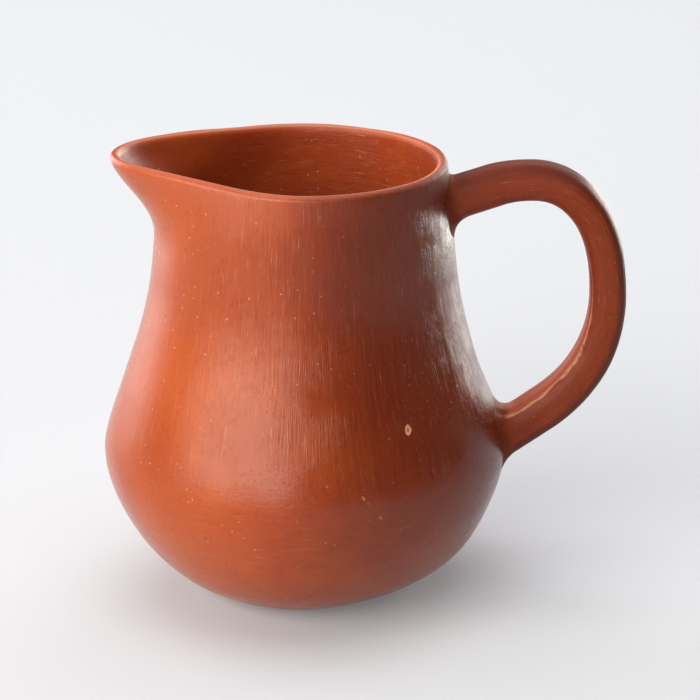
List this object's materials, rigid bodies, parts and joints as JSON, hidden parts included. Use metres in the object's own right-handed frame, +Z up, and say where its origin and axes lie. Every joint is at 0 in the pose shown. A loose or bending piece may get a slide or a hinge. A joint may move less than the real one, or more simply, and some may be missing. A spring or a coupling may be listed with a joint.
{
  "type": "pitcher",
  "caption": "Hand-built burnished clay pitcher with a rounded belly, a pulled pouring spout and a looped strap handle.",
  "frame": {"origin": "centre of the flat foot that the pitcher stands on", "axes": "+Z up out of the mouth, +X towards the handle, with the spout towards -X"},
  "size_m": [0.21, 0.1626, 0.1823],
  "materials": {
    "base_bowl_clay": "burnished unglazed terracotta, horizontal burnishing strokes, satin",
    "belly_coil_clay": "burnished unglazed terracotta, satin",
    "neck_coil_clay": "burnished unglazed terracotta, upright burnishing strokes, satin",
    "rim_coil_clay": "burnished unglazed terracotta, upright burnishing strokes, satin",
    "handle_clay": "burnished unglazed terracotta, strokes along the strap, satin",
    "upper_handle_root_clay": "smoothed unglazed terracotta, satin",
    "lower_handle_root_clay": "smoothed unglazed terracotta, satin"
  },
  "bodies": {
    "root": {"base_bowl": "base_bowl_clay", "belly_coil": "belly_coil_clay", "neck_coil": "neck_coil_clay", "rim_coil": "rim_coil_clay", "handle": "handle_clay", "upper_handle_root": "upper_handle_root_clay", "lower_handle_root": "lower_handle_root_clay"}
  },
  "joints": []
}
